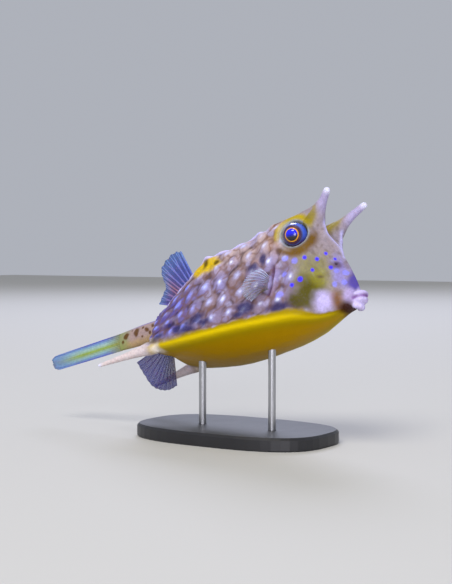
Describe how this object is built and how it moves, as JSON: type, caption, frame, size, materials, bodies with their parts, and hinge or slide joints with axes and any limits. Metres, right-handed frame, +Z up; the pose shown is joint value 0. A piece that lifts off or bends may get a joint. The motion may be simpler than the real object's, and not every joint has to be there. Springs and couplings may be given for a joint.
{
  "type": "longhorn cowfish display model",
  "caption": "Still life-size longhorn cowfish with brow horns, rear spines and plated carapace, banked over an oval base on two short rods.",
  "frame": {"origin": "centre of the underside of the stand's base", "axes": "+Z up, +X is the way the fish heads, seen from above, and its back leans towards +Y"},
  "size_m": [0.2108, 0.068, 0.1328],
  "materials": {
    "skin": "satin",
    "lips": "satin",
    "horn": "satin",
    "spine": "satin",
    "eye": "wet gloss",
    "fin": "translucent",
    "tail": "translucent",
    "stand_base": "satin black",
    "stand_rod": "brushed"
  },
  "bodies": {
    "root": {"head": "skin", "carapace": "skin", "tail_stalk": "skin", "upper_lip": "lips", "lower_lip": "lips", "horn_right": "horn", "horn_left": "horn", "rear_spine_right": "spine", "rear_spine_left": "spine", "eye_right": "eye", "eye_left": "eye", "dorsal_fin": "fin", "anal_fin": "fin", "pectoral_fin_right": "fin", "pectoral_fin_left": "fin", "caudal_fin": "tail", "stand_base": "stand_base", "stand_rod_front": "stand_rod", "stand_rod_rear": "stand_rod"}
  },
  "joints": []
}
